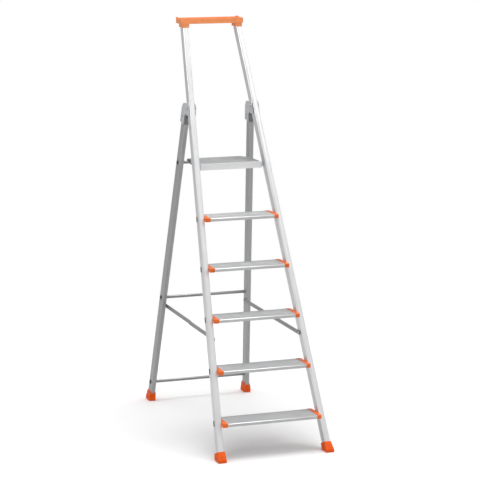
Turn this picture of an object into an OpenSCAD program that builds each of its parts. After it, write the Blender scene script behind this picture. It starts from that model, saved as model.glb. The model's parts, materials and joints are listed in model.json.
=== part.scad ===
// Folding platform step ladder: five treads, a tilting platform and a tool tray.
// Millimetres, +Z up, +X to the right seen from the front, +Y to the back.

/* [Front frame] */
// Lean of the stiles from vertical, degrees
stile_lean = 25.81; // [25.4:0.1:26.2]
// Inward taper of the stiles, degrees
stile_taper = 3.43; // [3.3:0.01:3.5]
// Half of the outer width of the stiles at the floor
stile_half = 295.9; // [294:0.5:300]
// Width of a stile
stile_w = 28.8; // [27:0.2:29]
// Depth of a stile
stile_d = 46.3; // [44:0.5:47]
// Wall of the stile tube
stile_wall = 1.8; // [1.4:0.1:2.4]
// Height of the top of the stiles
stile_top = 2066; // [2060:1:2070]

/* [Steps] */
// Height of the first tread
first_step = 178.5; // [175:0.5:182]
// Rise from one tread to the next
step_pitch = 235; // [233:0.5:236]
// Depth of a tread
tread_d = 136.6; // [130:0.5:137]
// How far the nosing stands in front of the stiles
tread_nose = 38.8; // [36:0.5:40]
// Thickness of a tread
tread_t = 17; // [16:1:19]
// Width of the moulded bracket at each end of a tread
bracket_w = 20; // [18:1:24]

/* [Platform] */
// Height of the platform
platform_z = 1368; // [1366:1:1370]
// Distance from the middle to the outer face of a platform rail
platform_half = 162; // [160:1:163]
// Depth of the platform
platform_d = 235; // [230:1:236]
// Depth of the front beam of the platform
beam_h = 32.5; // [28:0.5:33]

/* [Rear frame] */
// Lean of the rear legs from vertical, degrees
leg_lean = 12.53; // [12.3:0.01:12.7]
// Inward taper of the rear legs, degrees
leg_taper = 3.45; // [3.4:0.01:3.5]
// Half of the outer width of the rear legs at the floor
leg_half = 286.2; // [285:0.2:287]
// Distance from the stiles to the rear legs at the floor
leg_y = 1218.2; // [1216:0.2:1220]
// Width of a rear leg
leg_w = 23.4; // [22:0.2:24]
// Depth of a rear leg
leg_d = 53.7; // [52:0.5:54]
// Wall of the rear leg tube
leg_wall = 1.6; // [1.2:0.1:2.2]
// Radius of the cross tubes
tube_r = 8; // [7:0.25:8]

/* [Hinge] */
// Distance of the hinge axis behind the foot of the stiles
hinge_y = 819; // [817:0.5:820]
// Height of the hinge axis
hinge_z = 1640; // [1638:1:1642]
// Radius of the hinge bolt
hinge_bolt_r = 5; // [4:0.5:6]
// Thickness of a hinge plate
plate_t = 3; // [2.5:0.1:3]
// Gap between a stile and a hinge plate, filled by a washer
washer_t = 2.2; // [2.1:0.1:2.4]

/* [Stays] */
// Length of a front stay link between its pivots
front_link = 390; // [388:1:392]
// Height of both stay pivots
stay_z = 547; // [545:1:549]
// Thickness of a stay link
link_t = 4; // [3:0.5:4]

/* [Tray] */
// Half of the width of the top tray
tray_half = 171; // [168:1:175]
// Depth of the top tray
tray_d = 96; // [90:1:98]
// Height of the rim of the top tray
tray_h = 26; // [24:1:28]
// Wall of the top tray
tray_wall = 4; // [3:0.5:5]

/* [Hidden] */
$fn = 48;

STEPS = 5;
STILE_LEAN_RATIO = tan(stile_lean);
LEG_LEAN_RATIO = tan(leg_lean);
FOOT_FRONT = -8;
FOOT_BACK = 1280;
MID_Y = (FOOT_FRONT + FOOT_BACK) / 2;
FIT = 0.05;
PART_GAP = 0.1;
FRONT_FOOT_H = 50;
REAR_FOOT_H = 55;
FOOT_SOLE = 9;
stile_len = stile_top / cos(stile_lean);
hinge_d = (leg_y - hinge_z * LEG_LEAN_RATIO - hinge_y) * cos(leg_lean);
leg_top = (hinge_z - 40) / cos(leg_lean);
stile_grey = [0.86, 0.87, 0.88];
leg_grey = [0.68, 0.69, 0.70];
orange = [0.95, 0.36, 0.08];
dark = [0.16, 0.16, 0.17];
steel = [0.62, 0.63, 0.65];

// Front face of the stiles and of the rear legs at a height
function stile_y(z) = z * STILE_LEAN_RATIO;
function leg_front(z) = leg_y - z * LEG_LEAN_RATIO;
// Outer half width of the stiles and of the rear legs at a point of the side view
function stile_x(y, z) = stile_half - tan(stile_taper) * (y * sin(stile_lean) + z * cos(stile_lean));
function leg_x(y, z) = leg_half - tan(leg_taper) * ((leg_y - y) * sin(leg_lean) + z * cos(leg_lean));
function tread_z(k) = first_step + (k - 1) * step_pitch;
function tread_front(k) = stile_y(tread_z(k)) - tread_nose;
// Half width between the stiles at a tread's mid depth
function tread_half(k) =
  stile_x(tread_front(k) + tread_d / 2, tread_z(k)) - stile_w / cos(stile_taper) - 0.4;

TUBE_INSET = 32;
PLATFORM_TUBE_Z = 1343;
UPPER_TUBE_Z = 594;
LOWER_TUBE_Z = 104;
TUBE_ZS = [PLATFORM_TUBE_Z, UPPER_TUBE_Z, LOWER_TUBE_Z];
rear_pivot_y = leg_front(stay_z) + 15;
front_pivot_y = stile_y(stay_z) + 28.4;
rear_link_len = rear_pivot_y - front_pivot_y - front_link;
FRONT_LINK_X = 224.5;
REAR_LINK_X = FRONT_LINK_X - 4.5;
STUD_R = 4;
LINK_W = 20;
LINE_W = 2;
LINE_D = 0.7;
platform_front = stile_y(platform_z) + 22.5;
pin_y = platform_front + 16;
pin_z = platform_z - 16;
PIN_R = 5;
BEAM_T = 3.9;
RAIL_T = 4;
deck_y = platform_front + BEAM_T + PART_GAP;
deck_half = platform_half - RAIL_T - 0.2;
// Size of the cut at each rear corner of a tread
CORNER_W = 7;
CORNER_D = 14;
TRAY_Z = 2058;
TRAY_Y = stile_y(TRAY_Z) - 12;
SOCKET_H = 18;
// Rivets of a hinge, behind and above its axis in the rear leg's frame
RIVETS = [[62, -62], [76, -87]];
RIVET_R = 3;
RIVET_HEAD_R = 6;
HINGE_OUT = stile_x(hinge_y, hinge_z);
HINGE_IN = HINGE_OUT - stile_w / cos(stile_taper);
plate_out_x = HINGE_OUT + washer_t;
plate_in_x = HINGE_IN - washer_t - plate_t;
// Distances of the plates' leg-side faces from the leg's outer face
plate_out_d = plate_out_x - leg_x(hinge_y, hinge_z);
plate_in_d = plate_in_x + plate_t - leg_x(hinge_y, hinge_z);

// ---- Helpers ----
module on_floor() { translate([0, -MID_Y, 0]) children(); }
module side(s) { if (s > 0) children(); else mirror([1, 0, 0]) children(); }
module both() { side(1) children(); side(-1) children(); }
module in_stile() {
  translate([stile_half, 0, 0]) rotate([-stile_lean, 0, 0]) rotate([0, -stile_taper, 0]) children();
}
module in_leg() {
  translate([leg_half, leg_y, 0]) rotate([leg_lean, 0, 0]) rotate([0, -leg_taper, 0]) children();
}
// Local frame of the rear leg with its origin on the hinge axis, at the leg's outer face
module at_hinge() {
  translate([leg_x(hinge_y, hinge_z), hinge_y, hinge_z])
    rotate([leg_lean, 0, 0]) rotate([0, -leg_taper, 0]) children();
}
module x_rod(x0, x1, y, z, r) { translate([x0, y, z]) rotate([0, 90, 0]) cylinder(r = r, h = x1 - x0); }
module round_rect(w, d, r) {
  translate([r, 0]) square([w - 2 * r, d]);
  translate([0, r]) square([w, d - 2 * r]);
  for (x = [r, w - r], y = [r, d - r]) translate([x, y]) circle(r = r);
}
module tube_section(w, d, wall, r) {
  difference() {
    round_rect(w, d, r);
    translate([wall, wall]) round_rect(w - 2 * wall, d - 2 * wall, r / 2);
  }
}
// Shallow drawn lines along an extrusion, cut in its front face and in both of its sides
module drawn_lines(w, fronts, sides) {
  for (x = fronts) translate([x - LINE_W / 2, -1]) square([LINE_W, 1 + LINE_D]);
  for (y = sides, x = [-1, w - LINE_D]) translate([x, y - LINE_W / 2]) square([1 + LINE_D, LINE_W]);
}
module extrude_x(x0, x1) {
  translate([x0, 0, 0]) rotate([90, 0, 90]) linear_extrude(x1 - x0) children();
}
module extrude_y(y0, y1) {
  translate([0, y1, 0]) rotate([90, 0, 0]) linear_extrude(y1 - y0) children();
}

// ---- Front frame ----
// A stile is one tube from the pocket of its foot to the socket of the tray
module stile_body() {
  translate([-stile_w, 0, FOOT_SOLE / cos(stile_lean) + 14])
    linear_extrude(stile_len - FOOT_SOLE - 24) difference() {
      tube_section(stile_w, stile_d, stile_wall, 3);
      drawn_lines(stile_w, [5, stile_w - 5], [stile_d / 2]);
    }
}
// The oblong plugs on the stiles' outer faces, beside the rear edge of every tread
module plug_places(k) {
  z = tread_z(k) - 12;
  s = z / cos(stile_lean) + (stile_d - 12) * STILE_LEAN_RATIO;
  in_stile() translate([0, stile_d - 12, s]) rotate([0, 90, 0]) children();
}
module stile(s) {
  color(stile_grey) side(s) difference() {
    in_stile() stile_body();
    x_rod(0, stile_half, hinge_y, hinge_z, hinge_bolt_r + FIT);
    x_rod(0, stile_x(pin_y, pin_z) - stile_w / 2, pin_y, pin_z, PIN_R + FIT);
    x_rod(0, stile_x(front_pivot_y, stay_z) - stile_w / 2, front_pivot_y, stay_z, STUD_R + FIT);
    for (k = [1:STEPS]) plug_places(k) translate([0, 0, -4]) linear_extrude(8) plug_slot(0.1);
  }
}
module plug_slot(grow) {
  for (x = [-9, 9]) translate([x, 0]) circle(r = 4.5 + grow);
  square([18, 9 + 2 * grow], center = true);
}
module step_plugs() {
  color(dark) both() for (k = [1:STEPS]) plug_places(k) {
    translate([0, 0, -stile_wall - 2]) linear_extrude(stile_wall + 2) plug_slot(0);
    translate([0, 0, 0.05]) linear_extrude(1.6) plug_slot(1.2);
  }
}
// Side section of a tread: ribbed top, rolled nosing, set-back lip and stiffening legs
module tread_section() {
  rib = 5.6;
  difference() {
    union() {
      translate([6, -12]) square([tread_d - 8, 11]);
      translate([6, -6]) circle(r = 6);
      translate([3, -tread_t]) square([5, tread_t - 6]);
      translate([tread_d - 7, -tread_t]) square([5, tread_t - 1]);
      translate([6, -6]) square([14, 6]);
      translate([tread_d - 12, -6]) square([10, 6]);
    }
    translate([10, -13]) square([tread_d - 19, 9.6]);
  }
  for (i = [0:19]) translate([22 + i * rib, -1.1]) square([2.6, 1.1]);
}
module tread_plan(k, inset) {
  half = tread_half(k) - inset;
  polygon([[0, 0], [half, 0], [half, tread_d - CORNER_D], [half - CORNER_W, tread_d], [0, tread_d]]);
}
module at_tread(k) { translate([0, tread_front(k), tread_z(k)]) children(); }
module tread(k) {
  color(stile_grey) at_tread(k) both() intersection() {
    extrude_x(0, 300) tread_section();
    translate([0, 0, -tread_t - 1]) linear_extrude(tread_t + 2) tread_plan(k, bracket_w);
  }
}
// Moulded end bracket: a cap over the tread's end that meets the stile and laps its front edge
module bracket(k, s) {
  color(orange) side(s) at_tread(k) difference() {
    translate([0, -1, -tread_t - 2]) linear_extrude(tread_t + 3.4) difference() {
      bracket_plan(k);
      tread_hole_plan(k);
    }
    translate([0, -2, -tread_t - 3]) cube([400, 7, 9]);
    stile_cut(k);
  }
}
module bracket_plan(k) {
  edge = tread_half(k) - 1;
  tread_plan(k, 0);
  polygon([[edge, 4], [edge + 4, 7], [edge + 4.5, 32], [edge, 35]]);
}
module tread_hole_plan(k) {
  half = tread_half(k) - bracket_w + PART_GAP;
  slack = 1.2;
  polygon([[0, -5], [half, -5], [half, tread_d - CORNER_D + slack],
    [half - CORNER_W, tread_d + slack], [half - CORNER_W, tread_d + 9], [0, tread_d + 9]]);
}
module stile_cut(k) {
  translate([0, -tread_front(k), -tread_z(k)]) in_stile()
    translate([-stile_w - PART_GAP, -PART_GAP, 0]) cube([stile_w + 60, stile_d + 2 * PART_GAP, stile_len]);
}
// Tool tray with a hollow top, a post at each rear corner and a socket for each stile
module top_tray() {
  color(orange) difference() {
    union() {
      translate([0, TRAY_Y, TRAY_Z]) linear_extrude(tray_h) tray_plan();
      both() translate([tray_half - 14, TRAY_Y + tray_d - 14, TRAY_Z + tray_h - 1])
        linear_extrude(6) round_rect(14, 14, 4);
      both() translate([stile_x(TRAY_Y + 20, TRAY_Z) - stile_w - 5, TRAY_Y + 2, TRAY_Z - SOCKET_H])
        linear_extrude(SOCKET_H + 2) round_rect(stile_w + 10, 62, 5);
    }
    translate([-tray_half + tray_wall, TRAY_Y + tray_wall, TRAY_Z + 7])
      linear_extrude(tray_h + 1) round_rect(2 * (tray_half - tray_wall), tray_d - 2 * tray_wall, 7);
    both() in_stile() translate([-stile_w - PART_GAP, -PART_GAP, 0])
      cube([stile_w + 2 * PART_GAP, stile_d + 2 * PART_GAP, stile_len - 8.9]);
  }
}
module tray_plan() {
  translate([-tray_half, 0]) round_rect(2 * tray_half, tray_d, 10);
}
// A boot cut from a front outline and a side outline, with the tube's pocket taken out
module front_foot(s) {
  z1 = FRONT_FOOT_H;
  back_z = z1 - 20;
  mid = stile_x(20, 20) - stile_w / 2;
  top = stile_x(stile_y(z1) + 20, z1) - stile_w / 2;
  color(orange) side(s) difference() {
    intersection() {
      extrude_y(FOOT_FRONT, 120) polygon([[mid - 18, 0], [mid + 20, 0], [mid + 22, 4], [mid + 21.5, 14],
        [top + 17.6, z1], [top - 17.4, z1], [mid - 19.5, 14], [mid - 20, 4]]);
      extrude_x(0, 400) polygon([[FOOT_FRONT + 3, 0], [56, 0], [59, 4], [62, 14],
        [stile_y(back_z) + 55, back_z - 2], [stile_y(back_z) + 53, back_z],
        [stile_y(z1) - 1, z1], [stile_y(z1) - 3.5, z1 - 2], [FOOT_FRONT, 14], [FOOT_FRONT, 4]]);
    }
    in_stile() translate([-stile_w - PART_GAP, -PART_GAP, FOOT_SOLE / cos(stile_lean) + 13.9])
      cube([stile_w + 2 * PART_GAP, stile_d + 2 * PART_GAP, 200]);
    for (y = [2, 16, 30, 44]) translate([0, y, -1]) cube([400, 4, 4]);
  }
}
// The same kind of boot for a rear leg, with its front wall lower than its sides
module rear_foot(s) {
  z1 = REAR_FOOT_H;
  dip = z1 - 14;
  mid = leg_x(leg_front(20) + 20, 20) - leg_w / 2;
  top = leg_x(leg_front(z1) + 20, z1) - leg_w / 2;
  front = leg_front(0);
  color(orange) side(s) difference() {
    intersection() {
      extrude_y(front - 30, FOOT_BACK) polygon([[mid - 15.5, 0], [mid + 17.5, 0], [mid + 19, 4],
        [mid + 18.5, 14], [top + 14.5, z1], [top - 14.5, z1], [mid - 16.5, 14], [mid - 17, 4]]);
      extrude_x(0, 400) polygon([[front - 4, 0], [FOOT_BACK - 2, 0], [FOOT_BACK, 4], [FOOT_BACK, 14],
        [leg_front(z1) + 58, z1], [leg_front(z1) + 12, z1], [leg_front(dip) - 3.5, dip],
        [front - 8, 14], [front - 7, 4]]);
    }
    in_leg() translate([-leg_w - PART_GAP, -PART_GAP, FOOT_SOLE])
      cube([leg_w + 2 * PART_GAP, leg_d + 2 * PART_GAP, 200]);
    for (y = [2, 16, 30, 44]) translate([0, front + y, -1]) cube([400, 4, 4]);
  }
}
// Bolt with a round head outside and a hexagonal nut inside
module hinge_bolt(s) {
  color(steel) side(s) {
    x_rod(plate_in_x - 4, plate_out_x + plate_t + 4, hinge_y, hinge_z, hinge_bolt_r);
    x_rod(plate_out_x + plate_t + 0.8, plate_out_x + plate_t + 5, hinge_y, hinge_z, 9);
    translate([plate_in_x - 6.5, hinge_y, hinge_z]) rotate([0, 90, 0])
      cylinder(r = 9, h = 5.7, $fn = 6);
  }
}
module hinge_washers() {
  ring_t = washer_t - 1.6;
  color(dark) both() for (x = [HINGE_IN - 0.8 - ring_t, HINGE_OUT + 0.8]) difference() {
    x_rod(x, x + ring_t, hinge_y, hinge_z, 8);
    x_rod(x - 1, x + ring_t + 1, hinge_y, hinge_z, hinge_bolt_r + FIT);
  }
}
// Angle brackets on the stiles that carry the platform's pins
module platform_brackets() {
  x1 = stile_x(pin_y, pin_z) - stile_w / cos(stile_taper) - 1.2;
  color(steel) both() difference() {
    union() {
      extrude_x(platform_half + 5, platform_half + 8) round_bracket();
      extrude_x(platform_half + 8, x1) intersection() {
        round_bracket();
        translate([pin_y - 9, pin_z - 9]) square(18);
      }
    }
    x_rod(0, 300, pin_y, pin_z, PIN_R + FIT);
  }
}
module round_bracket() { translate([pin_y - 13, pin_z - 13]) round_rect(26, 26, 6); }
module stay_stud(x_wall, y, x_link) {
  x_rod(x_link - 3.2, x_wall, y, stay_z, STUD_R);
  x_rod(x_link - 3.2, x_link - 0.4, y, stay_z, 7.5);
}
module front_stay_studs() {
  wall_x = stile_x(front_pivot_y, stay_z) - stile_w;
  color(dark) both() {
    stay_stud(wall_x + 8, front_pivot_y, FRONT_LINK_X);
  }
}

// ---- Rear frame ----
module leg(s) {
  color(leg_grey) side(s) difference() {
    in_leg() translate([-leg_w, 0, FOOT_SOLE + 1])
      linear_extrude(leg_top - FOOT_SOLE - 1) difference() {
        tube_section(leg_w, leg_d, leg_wall, 3);
        drawn_lines(leg_w, [leg_w / 2], [leg_d * 0.3, leg_d * 0.7]);
      }
    for (z = TUBE_ZS) x_rod(0, 400, leg_front(z) + TUBE_INSET, z, tube_r + FIT);
    x_rod(0, leg_x(rear_pivot_y, stay_z) - leg_w / 2, rear_pivot_y, stay_z, STUD_R + FIT);
    rivet_holes();
  }
}
function tube_end(z) = leg_x(leg_front(z) + TUBE_INSET, z) - 1;
module cross_tube(z) {
  y = leg_front(z) + TUBE_INSET;
  color(leg_grey) difference() {
    x_rod(-tube_end(z), tube_end(z), y, z, tube_r);
    x_rod(-400, 400, y, z, tube_r - 1.5);
  }
}
module tube_plugs() {
  color(dark) both() for (z = TUBE_ZS) {
    y = leg_front(z) + TUBE_INSET;
    x_rod(tube_end(z) - 12, tube_end(z) + 2.2, y, z, tube_r - 1.5 - FIT);
    x_rod(tube_end(z) + 2.1, tube_end(z) + 4, y, z, tube_r + 2.5);
  }
}
module rivet_holes() {
  at_hinge() for (p = RIVETS) translate([-60, p[0], p[1]]) rotate([0, 90, 0])
    cylinder(r = RIVET_R + FIT, h = 120);
}
// Side outline of a hinge plate in the rear leg's frame, hinge axis at the origin
module plate_outline() {
  back = hinge_d + leg_d + 1.5;
  polygon([[-38, -30], [-34, -20], [-12, 24], [-4, 28], [66, 8], [76, 2], [back - 2, -18],
    [back, -28], [back, -98], [hinge_d - 0.5, -98], [hinge_d, -52], [20, -38]]);
}
module hinge_plate(s, x) {
  color(steel) side(s) difference() {
    at_hinge() extrude_x(x, x + plate_t) plate_outline();
    x_rod(0, 400, hinge_y, hinge_z, hinge_bolt_r + FIT);
    rivet_holes();
  }
}
// Moulded block between the plates, in front of the leg's top
module hinge_block(s) {
  color(dark) side(s) difference() {
    at_hinge() translate([plate_in_d + FIT, hinge_d - 6, -97])
      cube([plate_out_d - plate_in_d - 2 * FIT, leg_d + 6, 46]);
    in_leg() translate([-leg_w - PART_GAP, -PART_GAP, 0])
      cube([leg_w + 2 * PART_GAP, leg_d + 2 * PART_GAP, 3000]);
    rivet_holes();
  }
}
module hinge_rivets() {
  grip = plate_out_d - plate_in_d + 2 * plate_t;
  color(dark) both() at_hinge() for (p = RIVETS) translate([0, p[0], p[1]]) rotate([0, 90, 0]) {
    translate([0, 0, plate_in_d - plate_t - 2]) cylinder(r = RIVET_R, h = grip + 4);
    for (x = [plate_in_d - plate_t - 2.55, plate_out_d + plate_t + 0.05])
      translate([0, 0, x]) cylinder(r = RIVET_HEAD_R, h = 2.5);
  }
}
// Studs of the rear links, with a spacer sleeve against the leg
module rear_stay_studs() {
  wall_x = leg_x(rear_pivot_y, stay_z) - leg_w;
  color(dark) both() {
    stay_stud(wall_x + 8, rear_pivot_y, REAR_LINK_X);
    x_rod(REAR_LINK_X + link_t + 0.4, wall_x - 1, rear_pivot_y, stay_z, 7);
  }
}

// ---- Platform ----
module deck_plan() {
  back = platform_d - 4;
  polygon([[-deck_half, 0], [deck_half, 0], [deck_half - 6, back - 50], [122, back],
    [-122, back], [-deck_half + 6, back - 50]]);
}
// Ribbed sheet with a turned-down rear edge and a stiffener below
module platform_deck() {
  rows = 22;
  color(stile_grey) translate([0, deck_y, 0]) intersection() {
    translate([0, 0, platform_z - 40]) linear_extrude(60) deck_plan();
    extrude_x(-200, 200) union() {
      translate([0, platform_z - 5]) square([platform_d, 3.8]);
      translate([platform_d - 14, platform_z - 20]) square([10, 16]);
      translate([100, platform_z - 16]) square([3, 12]);
      for (i = [0:rows - 1]) translate([4 + i * 10.2, platform_z - 2]) square([5, 2]);
    }
  }
}
module platform_beam() {
  color(stile_grey) {
    extrude_x(-platform_half - 3, platform_half + 3)
      translate([platform_front, platform_z - beam_h]) square([BEAM_T, beam_h]);
    extrude_x(-deck_half, deck_half)
      translate([platform_front, platform_z - beam_h]) square([22, 3]);
  }
}
module platform_rail(s) {
  color(steel) side(s) difference() {
    extrude_x(platform_half - RAIL_T, platform_half)
      translate([deck_y, platform_z]) polygon([[0, -beam_h], [36, -beam_h], [156, -20],
        [172, -20], [172, 0], [0, 0]]);
    x_rod(0, 300, pin_y, pin_z, PIN_R + FIT);
  }
}
// Hook under the platform's rear edge that drops over the platform tube
module platform_hook(s) {
  back = platform_front + platform_d + 0.3;
  tube_y = leg_front(PLATFORM_TUBE_Z) + TUBE_INSET;
  seat = PLATFORM_TUBE_Z + tube_r + 0.5;
  low = platform_z - 31;
  color(dark) side(s) extrude_x(123, 147) difference() {
    union() {
      translate([back, seat]) square([tube_y + 17 - back, 7.5]);
      translate([tube_y + 9.2, PLATFORM_TUBE_Z - 8]) square([7.8, 22]);
      translate([back, low]) square([5, seat + 7.5 - low]);
      translate([back - 30, low]) square([35, 10.5]);
    }
    translate([tube_y, PLATFORM_TUBE_Z]) circle(r = tube_r + 0.5);
  }
}
module platform_pins() {
  color(steel) both() {
    x_rod(platform_half - 9, stile_x(pin_y, pin_z) - stile_w + 3, pin_y, pin_z, PIN_R);
    x_rod(platform_half - 8, platform_half - 4.05, pin_y, pin_z, 8.5);
  }
}

// ---- Stays ----
// A flat bar with rounded ends between two pivots; children are its holes
module link_bar(y0, y1, x) {
  color(steel) difference() {
    extrude_x(x, x + link_t) {
      translate([y0, stay_z - LINK_W / 2]) square([y1 - y0, LINK_W]);
      for (y = [y0, y1]) translate([y, stay_z]) circle(r = LINK_W / 2);
    }
    children();
  }
}
module front_link_bar(s) {
  knuckle = front_pivot_y + front_link;
  side(s) {
    link_bar(front_pivot_y, knuckle, FRONT_LINK_X)
      x_rod(0, 300, front_pivot_y, stay_z, STUD_R + FIT);
    color(dark) x_rod(FRONT_LINK_X + link_t, FRONT_LINK_X + link_t + 2, knuckle, stay_z, 6);
  }
}
module rear_link_bar(s) {
  knuckle = rear_pivot_y - rear_link_len;
  side(s) {
    link_bar(knuckle, rear_pivot_y, REAR_LINK_X)
      x_rod(0, 300, rear_pivot_y, stay_z, STUD_R + FIT);
    color(dark) x_rod(REAR_LINK_X - 2, REAR_LINK_X, knuckle, stay_z, 6);
  }
}

on_floor() stile(-1);  // left_stile
on_floor() stile(1);  // right_stile
on_floor() tread(1);  // tread_1
on_floor() tread(2);  // tread_2
on_floor() tread(3);  // tread_3
on_floor() tread(4);  // tread_4
on_floor() tread(5);  // tread_5
on_floor() bracket(1, -1);  // left_bracket_1
on_floor() bracket(2, -1);  // left_bracket_2
on_floor() bracket(3, -1);  // left_bracket_3
on_floor() bracket(4, -1);  // left_bracket_4
on_floor() bracket(5, -1);  // left_bracket_5
on_floor() bracket(1, 1);  // right_bracket_1
on_floor() bracket(2, 1);  // right_bracket_2
on_floor() bracket(3, 1);  // right_bracket_3
on_floor() bracket(4, 1);  // right_bracket_4
on_floor() bracket(5, 1);  // right_bracket_5
on_floor() step_plugs();
on_floor() top_tray();
on_floor() front_foot(-1);  // left_front_foot
on_floor() front_foot(1);  // right_front_foot
on_floor() hinge_bolt(-1);  // left_hinge_bolt
on_floor() hinge_bolt(1);  // right_hinge_bolt
on_floor() hinge_washers();
on_floor() platform_brackets();
on_floor() front_stay_studs();
on_floor() leg(-1);  // left_rear_leg
on_floor() leg(1);  // right_rear_leg
on_floor() cross_tube(PLATFORM_TUBE_Z);  // platform_tube
on_floor() cross_tube(UPPER_TUBE_Z);  // upper_cross_tube
on_floor() cross_tube(LOWER_TUBE_Z);  // lower_cross_tube
on_floor() tube_plugs();
on_floor() hinge_plate(-1, plate_out_d);  // left_hinge_outer_plate
on_floor() hinge_plate(-1, plate_in_d - plate_t);  // left_hinge_inner_plate
on_floor() hinge_plate(1, plate_out_d);  // right_hinge_outer_plate
on_floor() hinge_plate(1, plate_in_d - plate_t);  // right_hinge_inner_plate
on_floor() hinge_block(-1);  // left_hinge_block
on_floor() hinge_block(1);  // right_hinge_block
on_floor() hinge_rivets();
on_floor() rear_foot(-1);  // left_rear_foot
on_floor() rear_foot(1);  // right_rear_foot
on_floor() rear_stay_studs();
on_floor() platform_deck();
on_floor() platform_beam();
on_floor() platform_rail(-1);  // left_platform_rail
on_floor() platform_rail(1);  // right_platform_rail
on_floor() platform_hook(-1);  // left_platform_hook
on_floor() platform_hook(1);  // right_platform_hook
on_floor() platform_pins();
on_floor() front_link_bar(-1);  // left_front_link
on_floor() front_link_bar(1);  // right_front_link
on_floor() rear_link_bar(-1);  // left_rear_link
on_floor() rear_link_bar(1);  // right_rear_link
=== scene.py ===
"""Folding platform step ladder: finishes, small fittings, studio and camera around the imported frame."""

import json
import math

import bmesh
import bpy
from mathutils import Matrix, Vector
from mathutils.bvhtree import BVHTree


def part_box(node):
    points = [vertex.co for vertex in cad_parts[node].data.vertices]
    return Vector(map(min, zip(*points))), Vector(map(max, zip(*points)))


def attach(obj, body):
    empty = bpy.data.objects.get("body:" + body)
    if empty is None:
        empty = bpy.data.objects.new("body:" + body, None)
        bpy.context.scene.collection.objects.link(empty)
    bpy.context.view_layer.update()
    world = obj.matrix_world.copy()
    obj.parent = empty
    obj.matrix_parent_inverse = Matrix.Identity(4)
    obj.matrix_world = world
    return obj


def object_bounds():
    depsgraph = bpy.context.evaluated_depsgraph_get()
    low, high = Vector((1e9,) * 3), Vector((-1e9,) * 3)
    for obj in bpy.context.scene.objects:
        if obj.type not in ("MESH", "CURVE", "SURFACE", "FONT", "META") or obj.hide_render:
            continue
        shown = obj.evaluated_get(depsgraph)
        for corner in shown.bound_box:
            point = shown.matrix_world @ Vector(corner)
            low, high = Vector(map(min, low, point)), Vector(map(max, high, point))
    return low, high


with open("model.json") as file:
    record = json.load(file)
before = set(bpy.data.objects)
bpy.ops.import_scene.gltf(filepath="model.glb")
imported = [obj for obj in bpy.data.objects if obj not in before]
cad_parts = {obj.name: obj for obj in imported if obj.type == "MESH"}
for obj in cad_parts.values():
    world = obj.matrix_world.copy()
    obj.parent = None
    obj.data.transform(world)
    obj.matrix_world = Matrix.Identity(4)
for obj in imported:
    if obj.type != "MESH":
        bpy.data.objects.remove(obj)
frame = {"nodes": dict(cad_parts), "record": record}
cad_low, cad_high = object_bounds()

MM = 0.001
NODES = frame["nodes"]
SLOT_OF = {part["node"]: part["material_slot"] for part in frame["record"]["subparts"]}

SIDES = {"left": -1, "right": 1}
ACROSS = Vector((1, 0, 0))
BACKWARD = Vector((0, 1, 0))
UPWARD = Vector((0, 0, 1))

# How far the long members lean from upright in the side view
STILE_LEAN = math.radians(25.81)
LEG_LEAN = math.radians(12.53)


# ---- Camera ----
CAMERA_AZIMUTH = math.radians(19.13)
CAMERA_ELEVATION = math.radians(10.50)
CAMERA_DISTANCE = 9.538
CAMERA_LENS = 144.7
SENSOR_WIDTH = 36
VIEW_DEPTH = 60
AIM_OFFSET = Vector((-0.086, -0.336, -0.005))


def add_camera():
    """A long lens, left of the front and above the tray, pointed a little off the ladder's centre."""
    centre = (cad_low + cad_high) / 2
    aim = centre + AIM_OFFSET
    flat = math.cos(CAMERA_ELEVATION)
    away = Vector((
        -math.sin(CAMERA_AZIMUTH) * flat,
        -math.cos(CAMERA_AZIMUTH) * flat,
        math.sin(CAMERA_ELEVATION),
    ))
    data = bpy.data.cameras.new("studio_camera")
    data.lens = CAMERA_LENS
    data.sensor_width = SENSOR_WIDTH
    data.clip_end = VIEW_DEPTH
    camera = bpy.data.objects.new("studio_camera", data)
    camera.location = aim + away * CAMERA_DISTANCE
    camera.rotation_euler = (-away).to_track_quat("-Z", "Y").to_euler()
    bpy.context.scene.collection.objects.link(camera)
    bpy.context.scene.camera = camera


# ---- Shader node groups ----
def new_group(name, inputs, outputs):
    """A shader node group with named sockets; each is (name, kind, default)."""
    tree = bpy.data.node_groups.new(name, "ShaderNodeTree")
    for label, kind, default in inputs:
        socket = tree.interface.new_socket(label, in_out="INPUT", socket_type=kind)
        if default is not None:
            socket.default_value = default
    for label, kind in outputs:
        tree.interface.new_socket(label, in_out="OUTPUT", socket_type=kind)
    return tree, tree.nodes.new("NodeGroupInput"), tree.nodes.new("NodeGroupOutput")


def add_node(tree, kind, links=(), **settings):
    """Adds a node, sets its settings and default inputs, and links what feeds it."""
    node = tree.nodes.new(kind)
    for key, value in settings.items():
        setattr(node, key, value)
    for socket, source in links:
        if isinstance(source, bpy.types.NodeSocket):
            tree.links.new(source, node.inputs[socket])
        else:
            node.inputs[socket].default_value = source
    return node


FLOAT, COLOUR, VECTOR = "NodeSocketFloat", "NodeSocketColor", "NodeSocketVector"


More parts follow.
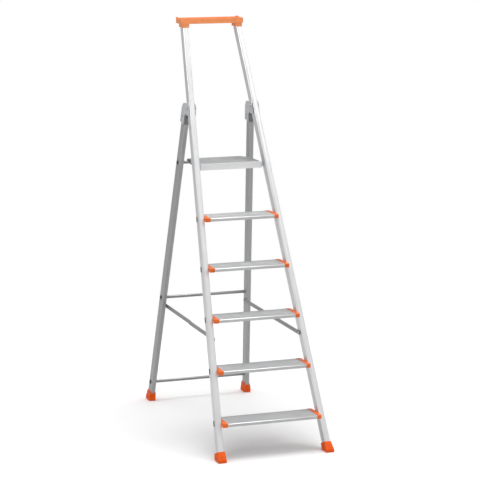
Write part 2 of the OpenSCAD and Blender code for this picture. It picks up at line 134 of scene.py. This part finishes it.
def build_grain_group():
    """Fine drawn lines along a member, with slow changes of tone and gloss."""
    tree, inp, out = new_group(
        "drawn_grain",
        [("Colour", COLOUR, None), ("Turn", VECTOR, (0, 0, 0)), ("Stretch", VECTOR, (1, 1, 1)),
         ("Roughness", FLOAT, 0.35)],
        [("Colour", COLOUR), ("Roughness", FLOAT), ("Height", FLOAT)],
    )
    place = add_node(tree, "ShaderNodeTexCoord").outputs["Object"]
    turned = add_node(tree, "ShaderNodeMapping", [("Vector", place), ("Rotation", inp.outputs["Turn"])])
    stretched = add_node(tree, "ShaderNodeVectorMath",
                         [(0, turned.outputs[0]), (1, inp.outputs["Stretch"])], operation="MULTIPLY")
    lines = add_node(tree, "ShaderNodeTexNoise",
                     [("Vector", stretched.outputs[0]), ("Scale", 900.0), ("Detail", 3.0)])
    streaks = add_node(tree, "ShaderNodeTexNoise",
                       [("Vector", stretched.outputs[0]), ("Scale", 90.0), ("Detail", 2.0)])
    clouds = add_node(tree, "ShaderNodeTexNoise", [("Vector", place), ("Scale", 7.0), ("Detail", 4.0)])
    mixed = add_node(tree, "ShaderNodeMath", [(0, lines.outputs[0]), (1, streaks.outputs[0])])
    both = add_node(tree, "ShaderNodeMath", [(0, mixed.outputs[0]), (1, clouds.outputs[0])])
    tone = add_node(tree, "ShaderNodeMapRange",
                    [("Value", both.outputs[0]), ("From Min", 1.0), ("From Max", 2.0),
                     ("To Min", 0.92), ("To Max", 1.06)])
    shade = add_node(tree, "ShaderNodeVectorMath",
                     [(0, inp.outputs["Colour"]), (1, tone.outputs[0])], operation="MULTIPLY")
    swing = add_node(tree, "ShaderNodeMapRange",
                     [("Value", both.outputs[0]), ("From Min", 1.0), ("From Max", 2.0),
                      ("To Min", -0.07), ("To Max", 0.09)])
    rough = add_node(tree, "ShaderNodeMath", [(0, swing.outputs[0]), (1, inp.outputs["Roughness"])])
    tree.links.new(shade.outputs[0], out.inputs["Colour"])
    tree.links.new(rough.outputs[0], out.inputs["Roughness"])
    tree.links.new(mixed.outputs[0], out.inputs["Height"])
    return tree


def build_moulded_group():
    """Moulded plastic: a fine spark-eroded grain, faint flow marks and slow changes of tone."""
    tree, inp, out = new_group(
        "moulded_grain",
        [("Colour", COLOUR, None), ("Roughness", FLOAT, 0.5), ("Grain size", FLOAT, 1400.0)],
        [("Colour", COLOUR), ("Roughness", FLOAT), ("Height", FLOAT)],
    )
    place = add_node(tree, "ShaderNodeTexCoord").outputs["Object"]
    pits = add_node(tree, "ShaderNodeTexNoise",
                    [("Vector", place), ("Scale", inp.outputs["Grain size"]), ("Detail", 2.0)])
    flow = add_node(tree, "ShaderNodeTexNoise",
                    [("Vector", place), ("Scale", 22.0), ("Detail", 3.0), ("Distortion", 1.2)])
    tone = add_node(tree, "ShaderNodeMapRange",
                    [("Value", flow.outputs[0]), ("From Min", 0.3), ("From Max", 0.7),
                     ("To Min", 0.9), ("To Max", 1.06)])
    shade = add_node(tree, "ShaderNodeVectorMath",
                     [(0, inp.outputs["Colour"]), (1, tone.outputs[0])], operation="MULTIPLY")
    swing = add_node(tree, "ShaderNodeMapRange",
                     [("Value", flow.outputs[0]), ("From Min", 0.3), ("From Max", 0.7),
                      ("To Min", -0.06), ("To Max", 0.08)])
    rough = add_node(tree, "ShaderNodeMath", [(0, swing.outputs[0]), (1, inp.outputs["Roughness"])])
    tree.links.new(shade.outputs[0], out.inputs["Colour"])
    tree.links.new(rough.outputs[0], out.inputs["Roughness"])
    tree.links.new(pits.outputs[0], out.inputs["Height"])
    return tree


def build_wear_group():
    """Worn, rubbed edges: a mask where the rounded normal leaves the flat one, broken up by noise."""
    tree, inp, out = new_group(
        "edge_wear",
        [("Colour", COLOUR, None), ("Worn colour", COLOUR, None), ("Width", FLOAT, 0.0015),
         ("Amount", FLOAT, 0.5)],
        [("Colour", COLOUR), ("Mask", FLOAT), ("Normal", VECTOR)],
    )
    rounded = add_node(tree, "ShaderNodeBevel", [("Radius", inp.outputs["Width"])], samples=4)
    flat = add_node(tree, "ShaderNodeNewGeometry").outputs["Normal"]
    dot = add_node(tree, "ShaderNodeVectorMath",
                   [(0, rounded.outputs[0]), (1, flat)], operation="DOT_PRODUCT")
    edge = add_node(tree, "ShaderNodeMapRange",
                    [("Value", dot.outputs["Value"]), ("From Min", 0.995), ("From Max", 0.86)])
    place = add_node(tree, "ShaderNodeTexCoord").outputs["Object"]
    chips = add_node(tree, "ShaderNodeTexNoise", [("Vector", place), ("Scale", 160.0), ("Detail", 4.0)])
    broken = add_node(tree, "ShaderNodeMapRange",
                      [("Value", chips.outputs[0]), ("From Min", 0.42), ("From Max", 0.62)])
    mask = add_node(tree, "ShaderNodeMath",
                    [(0, edge.outputs[0]), (1, broken.outputs[0])], operation="MULTIPLY")
    worn = add_node(tree, "ShaderNodeMath",
                    [(0, mask.outputs[0]), (1, inp.outputs["Amount"])], operation="MULTIPLY")
    mix = tree.nodes.new("ShaderNodeMix")
    mix.data_type = "RGBA"
    tree.links.new(worn.outputs[0], mix.inputs[0])
    tree.links.new(inp.outputs["Colour"], mix.inputs[6])
    tree.links.new(inp.outputs["Worn colour"], mix.inputs[7])
    tree.links.new(mix.outputs[2], out.inputs["Colour"])
    tree.links.new(worn.outputs[0], out.inputs["Mask"])
    tree.links.new(rounded.outputs[0], out.inputs["Normal"])
    return tree


GRAIN = build_grain_group()
MOULDED = build_moulded_group()
WEAR = build_wear_group()


def group_node(tree, group, **values):
    """Places a group and sets or links its inputs; an underscore in a name stands for a space."""
    node = tree.nodes.new("ShaderNodeGroup")
    node.node_tree = group
    for key, value in values.items():
        socket = node.inputs[key.replace("_", " ")]
        if isinstance(value, bpy.types.NodeSocket):
            tree.links.new(value, socket)
        else:
            socket.default_value = value
    return node


BUMP_DEPTH = 0.2 * MM
METAL_EDGE_WIDTH = 1.2 * MM
PLASTIC_EDGE_WIDTH = 1.8 * MM


def finish_material(name, source, worn, wear, bump, metallic, edge_width, specular=0.5):
    """Joins a grain or moulded group, the edge wear group and a bump to one Principled shader."""
    material = bpy.data.materials.new(name)
    material.use_nodes = True
    tree = material.node_tree
    shader = tree.nodes["Principled BSDF"]
    shader.inputs["Metallic"].default_value = metallic
    shader.inputs["Specular IOR Level"].default_value = specular
    grain = source(tree)
    edges = group_node(tree, WEAR, Colour=grain.outputs["Colour"], Worn_colour=(*worn, 1),
                       Width=edge_width, Amount=wear)
    relief = add_node(tree, "ShaderNodeBump",
                      [("Height", grain.outputs["Height"]), ("Normal", edges.outputs["Normal"]),
                       ("Strength", bump), ("Distance", BUMP_DEPTH)])
    tree.links.new(edges.outputs["Colour"], shader.inputs["Base Color"])
    tree.links.new(grain.outputs["Roughness"], shader.inputs["Roughness"])
    tree.links.new(relief.outputs[0], shader.inputs["Normal"])
    return material


METAL_WEAR = 0.35
METAL_WORN_GAIN = 1.15
LINE_STRETCH = 0.012


def metal(name, colour, roughness, lean=0.0, along="Z", bump=0.25, metallic=0.85):
    """Extruded or drawn metal whose lines run along one axis of the turned frame."""
    fine, long = 1.0, LINE_STRETCH
    stretch = {"X": (long, fine, fine), "Y": (fine, long, fine), "Z": (fine, fine, long)}[along]

    def source(tree):
        return group_node(tree, GRAIN, Colour=(*colour, 1), Turn=(lean, 0, 0), Stretch=stretch,
                          Roughness=roughness)

    bright = tuple(min(1.0, c * METAL_WORN_GAIN) for c in colour)
    return finish_material(name, source, bright, METAL_WEAR, bump, metallic, METAL_EDGE_WIDTH)


PLASTIC_WORN_WHITENING = 0.25


def plastic(name, colour, roughness, grain_size=1400.0, bump=0.18, wear=0.3, specular=0.5):
    """Moulded plastic, paler along its rubbed edges."""

    def source(tree):
        return group_node(tree, MOULDED, Colour=(*colour, 1), Roughness=roughness, Grain_size=grain_size)

    pale = tuple(c + (1 - c) * PLASTIC_WORN_WHITENING for c in colour)
    return finish_material(name, source, pale, wear, bump, 0.0, PLASTIC_EDGE_WIDTH, specular)


MATERIALS = {
    "stile_aluminium": metal("extruded_stile", (0.85, 0.855, 0.865), 0.34, lean=STILE_LEAN),
    "tread_aluminium": metal("ribbed_tread", (0.64, 0.645, 0.65), 0.36, along="X"),
    # The legs' darker base colour is partly their own finish and partly painted shade for their
    # downward-facing front faces
    "leg_aluminium": metal("extruded_leg_painted_shade", (0.50, 0.505, 0.51), 0.42, lean=-LEG_LEAN),
    "tube_aluminium": metal("drawn_tube", (0.34, 0.345, 0.35), 0.34, along="X"),
    "hinge_aluminium": metal("pressed_plate", (0.72, 0.73, 0.74), 0.4, lean=-LEG_LEAN, bump=0.15),
    "stay_steel": metal("zinc_stay", (0.36, 0.365, 0.37), 0.4, along="Y"),
    "fastener_steel": metal("zinc_fastener", (0.62, 0.62, 0.63), 0.35, along="X", bump=0.1),
    "bracket_orange": plastic("bracket_moulding", (0.92, 0.17, 0.018), 0.42, specular=0.35),
    "tray_orange": plastic("tray_moulding", (1.0, 0.33, 0.115), 0.42),
    "foot_orange": plastic("foot_moulding", (0.88, 0.11, 0.004), 0.5, grain_size=900.0, bump=0.3,
                           wear=0.12, specular=0.22),
    "black_plastic": plastic("black_moulding", (0.03, 0.03, 0.032), 0.5),
}
GREY_MOULDING = plastic("grey_moulding", (0.21, 0.212, 0.216), 0.5)
OWN_FINISHES = {
    "platform_deck": metal("ribbed_deck", (0.44, 0.445, 0.45), 0.45, along="X"),
    "platform_beam": metal("extruded_beam", (0.97, 0.975, 0.98), 0.4, along="X", metallic=0.6),
    "left_hinge_block": GREY_MOULDING, "right_hinge_block": GREY_MOULDING,
    "left_platform_hook": GREY_MOULDING, "right_platform_hook": GREY_MOULDING,
}


def dress_nodes():
    """Gives every CAD node its own finish, or else the material of its slot."""
    for name, obj in NODES.items():
        obj.data.materials.clear()
        obj.data.materials.append(OWN_FINISHES.get(name) or MATERIALS[SLOT_OF[name]])


MOULDED_ROUNDING = 1.6 * MM
METAL_ROUNDING = 0.4 * MM
JOINING_DISTANCE = 0.02 * MM
ROUNDED_ABOVE = math.radians(35)


def soften_edges():
    """Rounds the edges of the orange mouldings and takes the sharpness off the other parts."""
    for name, obj in NODES.items():
        orange = "orange" in SLOT_OF[name]
        weld = obj.modifiers.new("joined_faces", "WELD")
        weld.merge_threshold = JOINING_DISTANCE
        bevel = obj.modifiers.new("rounded_edges", "BEVEL")
        bevel.width = MOULDED_ROUNDING if orange else METAL_ROUNDING
        bevel.segments = 3 if orange else 2
        bevel.limit_method = "ANGLE"
        bevel.angle_limit = ROUNDED_ABOVE
        bevel.use_clamp_overlap = True
        bevel.harden_normals = True


# ---- Shape tools ----
# How far outside a part a line starts when it looks for the part's surface
JUST_ABOVE = 50 * MM
OUTSIDE = 100 * MM
BEYOND_THE_SIDE = 400 * MM

TURNED_SIDES = 28
BEAD_SIDES = 10
CORNER_POINTS = 6
SMOOTH_BELOW = math.radians(40)


def corners_of(node):
    """The low and the high corner of a CAD node's box."""
    low_corner, high_corner = (Vector(v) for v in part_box(node))
    return low_corner, high_corner


def centre_of(node):
    """The middle of a CAD node's box."""
    low_corner, high_corner = corners_of(node)
    return (low_corner + high_corner) / 2


def surface(node, start, way):
    """The point and the normal where a straight line first meets a CAD node."""
    obj = NODES[node]
    tree = BVHTree.FromPolygons([v.co for v in obj.data.vertices], [p.vertices for p in obj.data.polygons])
    point, normal, _, _ = tree.ray_cast(Vector(start), Vector(way).normalized())
    if point is None:
        raise ValueError(f"{node} isn't met from {tuple(start)}")
    return point, normal


def side_axes(normal, up=UPWARD):
    """Two directions in a face, the second as near to up as the face allows."""
    across = up.cross(normal).normalized()
    return across, normal.cross(across).normalized()


def add_turned(bm, centre, axis, profile, star=0.0):
    """A turned shape with a ring for each (radius, height); star makes the last three six-lobed."""
    u, v = side_axes(axis, UPWARD if abs(axis.z) < 0.9 else BACKWARD)
    rings = []
    for k, (radius, height) in enumerate(profile):
        lobed = star if k >= len(profile) - 3 else 0.0
        ring = []
        for i in range(TURNED_SIDES):
            turn = 2 * math.pi * i / TURNED_SIDES
            r = radius * (1 + lobed * math.cos(6 * turn))
            outward = u * math.cos(turn) + v * math.sin(turn)
            ring.append(bm.verts.new(centre + axis * height + outward * r))
        rings.append(ring)
    for inner, outer in zip(rings, rings[1:]):
        for i in range(TURNED_SIDES):
            j = (i + 1) % TURNED_SIDES
            bm.faces.new((inner[i], inner[j], outer[j], outer[i]))
    bm.faces.new(rings[-1])
    bm.faces.new(rings[0][::-1])


def add_oblong(bm, centre, u, v, half_u, half_v, height, slope=0.25):
    """A raised oblong pad with rounded ends and a sloped rim, standing on the plane of u and v."""
    normal = u.cross(v).normalized()
    round_off = min(half_u, half_v)
    outline = []
    for quarter, (su, sv) in enumerate(((1, 1), (-1, 1), (-1, -1), (1, -1))):
        for i in range(CORNER_POINTS):
            turn = math.pi / 2 * (quarter + i / (CORNER_POINTS - 1))
            outline.append((su * (half_u - round_off) + math.cos(turn) * round_off,
                            sv * (half_v - round_off) + math.sin(turn) * round_off))
    inset = round_off * slope
    loops = []
    for height_share, shrink in ((-0.4, 0.0), (0.55, 0.0), (0.9, 0.5), (1.0, 1.0)):
        loop = []
        for a, b in outline:
            length = max(math.hypot(a, b), 1e-9)
            scale = 1 - inset * shrink / length
            in_plane = u * a * scale + v * b * scale
            loop.append(bm.verts.new(centre + in_plane + normal * height * height_share))
        loops.append(loop)
    for lower, upper in zip(loops, loops[1:]):
        for i in range(len(outline)):
            j = (i + 1) % len(outline)
            bm.faces.new((lower[i], lower[j], upper[j], upper[i]))
    bm.faces.new(loops[-1])
    bm.faces.new(loops[0][::-1])


def add_bead(bm, path, radius):
    """A round bead along a closed path that lies flat."""
    count = len(path)
    rings = []
    for i, point in enumerate(path):
        along = (path[(i + 1) % count] - path[(i - 1) % count]).normalized()
        u = UPWARD.cross(along).normalized()
        v = along.cross(u)
        rings.append([bm.verts.new(point + (u * math.cos(t) + v * math.sin(t)) * radius)
                      for t in (2 * math.pi * k / BEAD_SIDES for k in range(BEAD_SIDES))])
    for i in range(count):
        here, there = rings[i], rings[(i + 1) % count]
        for k in range(BEAD_SIDES):
            m = (k + 1) % BEAD_SIDES
            bm.faces.new((here[k], here[m], there[m], there[k]))


def finish_piece(name, bm, body, slot):
    """Turns a built shape into a named piece that rides on a body and wears its slot's material."""
    bmesh.ops.recalc_face_normals(bm, faces=bm.faces)
    mesh = bpy.data.meshes.new(name)
    bm.to_mesh(mesh)
    bm.free()
    mesh.shade_smooth()
    mesh.set_sharp_from_angle(angle=SMOOTH_BELOW)
    mesh.materials.append(MATERIALS[slot])
    piece = bpy.data.objects.new(name, mesh)
    bpy.context.scene.collection.objects.link(piece)
    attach(piece, body)


def screw_profile(radius, height):
    """A low domed head with a sunk recess."""
    return [(radius, -0.3 * height), (radius, 0.35 * height), (radius * 0.86, 0.8 * height),
            (radius * 0.55, height), (radius * 0.46, height), (radius * 0.42, 0.35 * height),
            (radius * 0.2, 0.3 * height)]


def rivet_profile(radius, height):
    """A shallow dome."""
    return [(radius, -0.2 * height), (radius * 0.98, 0.2 * height), (radius * 0.82, 0.62 * height),
            (radius * 0.55, 0.88 * height), (radius * 0.22, height)]


# ---- Small fittings ----
TREAD_COUNT = 5
SCREW_STAR = 0.16
BRACKET_FITTING_INSET = 14 * MM
PAD_SHARES = (0.16, 0.34, 0.52)
SCREW_SHARE = 0.74


def add_bracket_details():
    """Three grip pads and a star screw on the top of every tread bracket, from its nose to its back."""
    screws, pads = bmesh.new(), bmesh.new()
    for side, sign in SIDES.items():
        for step in range(1, TREAD_COUNT + 1):
            node = f"{side}_bracket_{step}"
            low_corner, high_corner = corners_of(node)
            outer = high_corner.x if sign > 0 else low_corner.x
            depth = high_corner.y - low_corner.y
            for share in (*PAD_SHARES, SCREW_SHARE):
                over = Vector((outer - sign * BRACKET_FITTING_INSET, low_corner.y + depth * share,
                               high_corner.z + JUST_ABOVE))
                point, normal = surface(node, over, -UPWARD)
                if share == SCREW_SHARE:
                    add_turned(screws, point, normal, screw_profile(4.2 * MM, 1.6 * MM), star=SCREW_STAR)
                else:
                    add_oblong(pads, point, ACROSS, BACKWARD, 6.0 * MM, 1.7 * MM, 0.9 * MM)
    finish_piece("bracket_screws", screws, "front_frame", "fastener_steel")
    finish_piece("bracket_grip_pads", pads, "front_frame", "bracket_orange")


RIM_BELOW_TOP = 5.6 * MM
RIM_INSET = 2.0 * MM
RIM_TURN = 8.0 * MM
RIM_RADIUS = 1.95 * MM
RIM_CORNER_POINTS = 7


def tray_rim_path(low_corner, high_corner):
    """A rounded rectangle just inside the tray's outline, near its top edge."""
    height = high_corner.z - RIM_BELOW_TOP
    corners = ((high_corner.x, high_corner.y, 0), (low_corner.x, high_corner.y, 1),
               (low_corner.x, low_corner.y, 2), (high_corner.x, low_corner.y, 3))
    path = []
    for x, y, quarter in corners:
        cx = x - math.copysign(RIM_INSET + RIM_TURN, x)
        cy = y - (RIM_INSET + RIM_TURN) * (1 if quarter < 2 else -1)
        for i in range(RIM_CORNER_POINTS):
            turn = math.pi / 2 * (quarter + i / (RIM_CORNER_POINTS - 1))
            path.append(Vector((cx + math.cos(turn) * RIM_TURN, cy + math.sin(turn) * RIM_TURN, height)))
    return path


FLOOR_RIB_PITCH = 28 * MM
END_RIB_X = 162 * MM
SOCKET_SCREW_OFFSETS = (7 * MM, 22 * MM)
SOCKET_SCREW_HEIGHT = 9 * MM


def add_tray_details():
    """The tray's rolled rim, its low floor ribs and the screws at the back of its two sockets."""
    low_corner, high_corner = corners_of("top_tray")
    rim, ribs, screws = bmesh.new(), bmesh.new(), bmesh.new()
    add_bead(rim, tray_rim_path(low_corner, high_corner), RIM_RADIUS)
    mid_y = (low_corner.y + high_corner.y) / 2
    above = high_corner.z + JUST_ABOVE
    for k in range(-5, 6):
        point, _ = surface("top_tray", (k * FLOOR_RIB_PITCH, mid_y, above), -UPWARD)
        add_oblong(ribs, point, ACROSS, BACKWARD, 1.6 * MM, 36 * MM, 1.6 * MM)
    stile_low, _ = corners_of("right_stile")
    for sign in SIDES.values():
        point, _ = surface("top_tray", (sign * END_RIB_X, mid_y, above), -UPWARD)
        add_oblong(ribs, point, ACROSS, BACKWARD, 1.4 * MM, 30 * MM, 4.0 * MM)
        for offset in SOCKET_SCREW_OFFSETS:
            behind = (sign * (stile_low.x + offset), high_corner.y + OUTSIDE,
                      low_corner.z + SOCKET_SCREW_HEIGHT)
            point, normal = surface("top_tray", behind, -BACKWARD)
            add_turned(screws, point, normal, screw_profile(3.2 * MM, 1.4 * MM), star=SCREW_STAR)
    finish_piece("tray_rim", rim, "front_frame", "tray_orange")
    finish_piece("tray_floor_ribs", ribs, "front_frame", "tray_orange")
    finish_piece("tray_screws", screws, "front_frame", "fastener_steel")


FRONT_RIB_HEIGHTS = (17 * MM, 24 * MM, 31 * MM)
SIDE_RIB_HEIGHTS = FRONT_RIB_HEIGHTS[:2]
SIDE_RIB_FORWARD = 2 * MM


def add_foot_rib(bm, node, start, way, half_length):
    """One level rib on the face of a foot that a line from outside meets."""
    point, normal = surface(node, start, way)
    across, _ = side_axes(normal)
    add_oblong(bm, point, across, normal.cross(across), half_length, 1.3 * MM, 0.9 * MM)


def add_foot_details():
    """Grip ribs across the front and the outside of every foot."""
    for end in ("front", "rear"):
        bm = bmesh.new()
        for side, sign in SIDES.items():
            node = f"{side}_{end}_foot"
            low_corner, high_corner = corners_of(node)
            middle = (low_corner + high_corner) / 2
            outside = low_corner.x if sign < 0 else high_corner.x
            for height in FRONT_RIB_HEIGHTS:
                start = (middle.x, low_corner.y - OUTSIDE, low_corner.z + height)
                add_foot_rib(bm, node, start, BACKWARD, 10.5 * MM)
            for height in SIDE_RIB_HEIGHTS:
                start = (outside + sign * OUTSIDE, middle.y - SIDE_RIB_FORWARD, low_corner.z + height)
                add_foot_rib(bm, node, start, -ACROSS * sign, 13 * MM)
        finish_piece(f"{end}_foot_ribs", bm, f"{end}_frame", "foot_orange")


# The black pads near the top of each hinge block are painted shade for the dark gap above the leg's top,
# not a real buffer
SHADE_PAD_BELOW_TOP = 20 * MM
SHADE_PAD_CLEARANCE = 2 * MM
BOLT_REACH = 60 * MM
PRESSING_BEHIND_BOLT = 40 * MM
PRESSING_HEIGHTS = (-14 * MM, 14 * MM)


def add_hinge_details():
    """Oblong pressings on the outer hinge plates, black pads on the hinge blocks as painted shade, and
    domed bolt ends.
    """
    pressings, shade_pads, domes = bmesh.new(), bmesh.new(), bmesh.new()
    for side, sign in SIDES.items():
        low_corner, high_corner = corners_of(f"{side}_hinge_block")
        start = ((low_corner.x + high_corner.x) / 2, low_corner.y - SHADE_PAD_CLEARANCE,
                 high_corner.z - SHADE_PAD_BELOW_TOP)
        point, normal = surface(f"{side}_hinge_block", start, BACKWARD)
        across, upward = side_axes(normal)
        # Black pad as painted shade where the gap at the top of the hinge block is dark
        add_oblong(shade_pads, point, across, upward, 7.5 * MM, 5 * MM, 1.8 * MM, slope=0.5)
        bolt = centre_of(f"{side}_hinge_bolt")
        for way in (ACROSS * sign, -ACROSS * sign):
            point, _ = surface(f"{side}_hinge_bolt", bolt + way * BOLT_REACH, -way)
            add_turned(domes, point, way, rivet_profile(4.4 * MM, 0.9 * MM))
        for height in PRESSING_HEIGHTS:
            start = (sign * BEYOND_THE_SIDE, bolt.y + PRESSING_BEHIND_BOLT, bolt.z + height)
            point, normal = surface(f"{side}_hinge_outer_plate", start, -ACROSS * sign)
            across, upward = side_axes(normal)
            add_oblong(pressings, point, across, upward, 13 * MM, 4.0 * MM, 0.8 * MM, slope=0.5)
    finish_piece("hinge_plate_pressings", pressings, "rear_frame", "hinge_aluminium")
    # The black pads painted as shade on the hinge blocks
    finish_piece("hinge_shade_pads", shade_pads, "rear_frame", "black_plastic")
    finish_piece("hinge_bolt_domes", domes, "front_frame", "fastener_steel")


COLLAR_START_HEIGHT = 12 * MM
COLLAR_PROFILE = [
    (11.5 * MM, -1.0 * MM), (11.5 * MM, 0.8 * MM), (10.2 * MM, 1.6 * MM), (9.0 * MM, 2.2 * MM),
    (8.4 * MM, 4.0 * MM), (8.05 * MM, 4.4 * MM), (7.9 * MM, 4.4 * MM),
]


def add_tube_collars():
    """Flared collars where the cross tubes enter the legs."""
    collars = bmesh.new()
    for tube in ("platform_tube", "upper_cross_tube", "lower_cross_tube"):
        middle = centre_of(tube)
        for side, sign in SIDES.items():
            start = middle + UPWARD * COLLAR_START_HEIGHT
            point, _ = surface(f"{side}_rear_leg", start, ACROSS * sign)
            face = Vector((point.x, middle.y, middle.z))
            add_turned(collars, face, -ACROSS * sign, COLLAR_PROFILE)
    finish_piece("tube_collars", collars, "rear_frame", "tube_aluminium")


RAIL_RIVET_PLACES = (100 * MM, 130 * MM, 160 * MM)
RAIL_RIVET_BELOW_TOP = 10 * MM
CAP_BEHIND_FRONT = 6.2 * MM


def add_platform_details():
    """Caps on the ends of the platform's front beam, and rivets along its rails."""
    caps, rivets = bmesh.new(), bmesh.new()
    beam_low, beam_high = corners_of("platform_beam")
    for side, sign in SIDES.items():
        rail_low, rail_high = corners_of(f"{side}_platform_rail")
        outer = rail_high.x if sign > 0 else rail_low.x
        for place in RAIL_RIVET_PLACES:
            start = (sign * BEYOND_THE_SIDE, rail_low.y + place, rail_high.z - RAIL_RIVET_BELOW_TOP)
            point, normal = surface(f"{side}_platform_rail", start, -ACROSS * sign)
            add_turned(rivets, point, normal, rivet_profile(3.2 * MM, 1.1 * MM))
        edge = Vector((outer, beam_low.y + CAP_BEHIND_FRONT, (beam_low.z + beam_high.z) / 2))
        add_oblong(caps, edge, BACKWARD * sign, UPWARD, 2.0 * MM, 14 * MM, 1.5 * MM)
    finish_piece("platform_rivets", rivets, "platform", "fastener_steel")
    finish_piece("platform_end_caps", caps, "platform", "black_plastic")


# ---- Studio ----
FLOOR_HALF = 14.0
FLOOR_SOLID_TO = 1.3
FLOOR_CLEAR_FROM = 3.6
FLOOR_BOUNCE = (0.6, 0.6, 0.6, 1)


def add_floor():
    """A pale floor that fades into the white surroundings and bounces less light than it shows."""
    mesh = bpy.data.meshes.new("studio_floor")
    half = FLOOR_HALF
    corners = [(-half, -half, 0), (half, -half, 0), (half, half, 0), (-half, half, 0)]
    mesh.from_pydata(corners, [], [(0, 1, 2, 3)])
    floor = bpy.data.objects.new("studio_floor", mesh)
    bpy.context.scene.collection.objects.link(floor)
    material = bpy.data.materials.new("pale_floor")
    material.use_nodes = True
    tree = material.node_tree
    shader = tree.nodes["Principled BSDF"]
    place = add_node(tree, "ShaderNodeTexCoord").outputs["Object"]
    speckle = add_node(tree, "ShaderNodeTexNoise", [("Vector", place), ("Scale", 3.0), ("Detail", 5.0)])
    tone = add_node(tree, "ShaderNodeMapRange", [("Value", speckle.outputs[0]), ("To Min", 0.90),
                                                 ("To Max", 0.93)])
    tree.links.new(tone.outputs[0], shader.inputs["Base Color"])
    shader.inputs["Roughness"].default_value = 0.8
    shader.inputs["Specular IOR Level"].default_value = 0.2
    reach = add_node(tree, "ShaderNodeVectorMath", [(0, place)], operation="LENGTH")
    fade = add_node(tree, "ShaderNodeMapRange",
                    [("Value", reach.outputs["Value"]), ("From Min", FLOOR_SOLID_TO),
                     ("From Max", FLOOR_CLEAR_FROM)],
                    interpolation_type="SMOOTHSTEP")
    clear = add_node(tree, "ShaderNodeBsdfTransparent")
    seen = add_node(tree, "ShaderNodeMixShader",
                    [(0, fade.outputs[0]), (1, shader.outputs[0]), (2, clear.outputs[0])])
    bounce = add_node(tree, "ShaderNodeBsdfDiffuse", [("Color", FLOOR_BOUNCE)])
    path = add_node(tree, "ShaderNodeLightPath")
    mix = add_node(tree, "ShaderNodeMixShader",
                   [(0, path.outputs["Is Camera Ray"]), (1, bounce.outputs[0]), (2, seen.outputs[0])])
    tree.links.new(mix.outputs[0], tree.nodes["Material Output"].inputs["Surface"])
    mesh.materials.append(material)


# Each light's name, place, aim, side length and power in watts
AREA_LIGHTS = (
    ("key", (3.6, -3.4, 6.0), (0, 0, 0.6), 2.5, 22),
    ("top", (0.3, 0.2, 8.0), (0, 0, 0), 5.0, 400),
    ("rim", (-5.5, 5.0, 3.0), (0, 0, 1.0), 5.0, 40),
    ("left_front", (-5.0, -5.5, 2.2), (0, 0.3, 1.1), 4.0, 55),
)


def add_area_light(name, location, aim, size, power):
    """A soft square light that the camera doesn't see."""
    data = bpy.data.lights.new(name, "AREA")
    data.shape = "SQUARE"
    data.size = size
    data.energy = power
    light = bpy.data.objects.new(name, data)
    light.location = location
    light.rotation_euler = (Vector(aim) - Vector(location)).to_track_quat("-Z", "Y").to_euler()
    light.visible_camera = False
    bpy.context.scene.collection.objects.link(light)


BRIGHT_WAY = (0.72, -0.52, 0.46)
DIM_LEVEL = 0.46
BRIGHT_LEVEL = 0.90


def add_world():
    """Soft surroundings, brighter to the right and above; the camera sees plain white."""
    world = bpy.data.worlds.new("studio_world")
    world.use_nodes = True
    tree = world.node_tree
    seen = tree.nodes["Background"]
    seen.inputs["Color"].default_value = (1.0, 1.0, 1.0, 1)
    seen.inputs["Strength"].default_value = 1.0
    way = add_node(tree, "ShaderNodeTexCoord").outputs["Generated"]
    facing = add_node(tree, "ShaderNodeVectorMath", [(0, way), (1, BRIGHT_WAY)], operation="DOT_PRODUCT")
    level = add_node(tree, "ShaderNodeMapRange",
                     [("Value", facing.outputs["Value"]), ("From Min", -0.9), ("From Max", 0.9),
                      ("To Min", DIM_LEVEL), ("To Max", BRIGHT_LEVEL)])
    around = add_node(tree, "ShaderNodeBackground", [("Strength", level.outputs[0])])
    path = add_node(tree, "ShaderNodeLightPath")
    mix = add_node(tree, "ShaderNodeMixShader",
                   [(0, path.outputs["Is Camera Ray"]), (1, around.outputs[0]), (2, seen.outputs[0])])
    tree.links.new(mix.outputs[0], tree.nodes["World Output"].inputs["Surface"])
    bpy.context.scene.world = world


def add_studio():
    """The floor, the surroundings and the lights."""
    add_floor()
    add_world()
    bpy.context.scene.view_settings.view_transform = "Standard"
    for light in AREA_LIGHTS:
        add_area_light(*light)


add_camera()
dress_nodes()
soften_edges()
add_bracket_details()
add_tray_details()
add_foot_details()
add_hinge_details()
add_tube_collars()
add_platform_details()
add_studio()
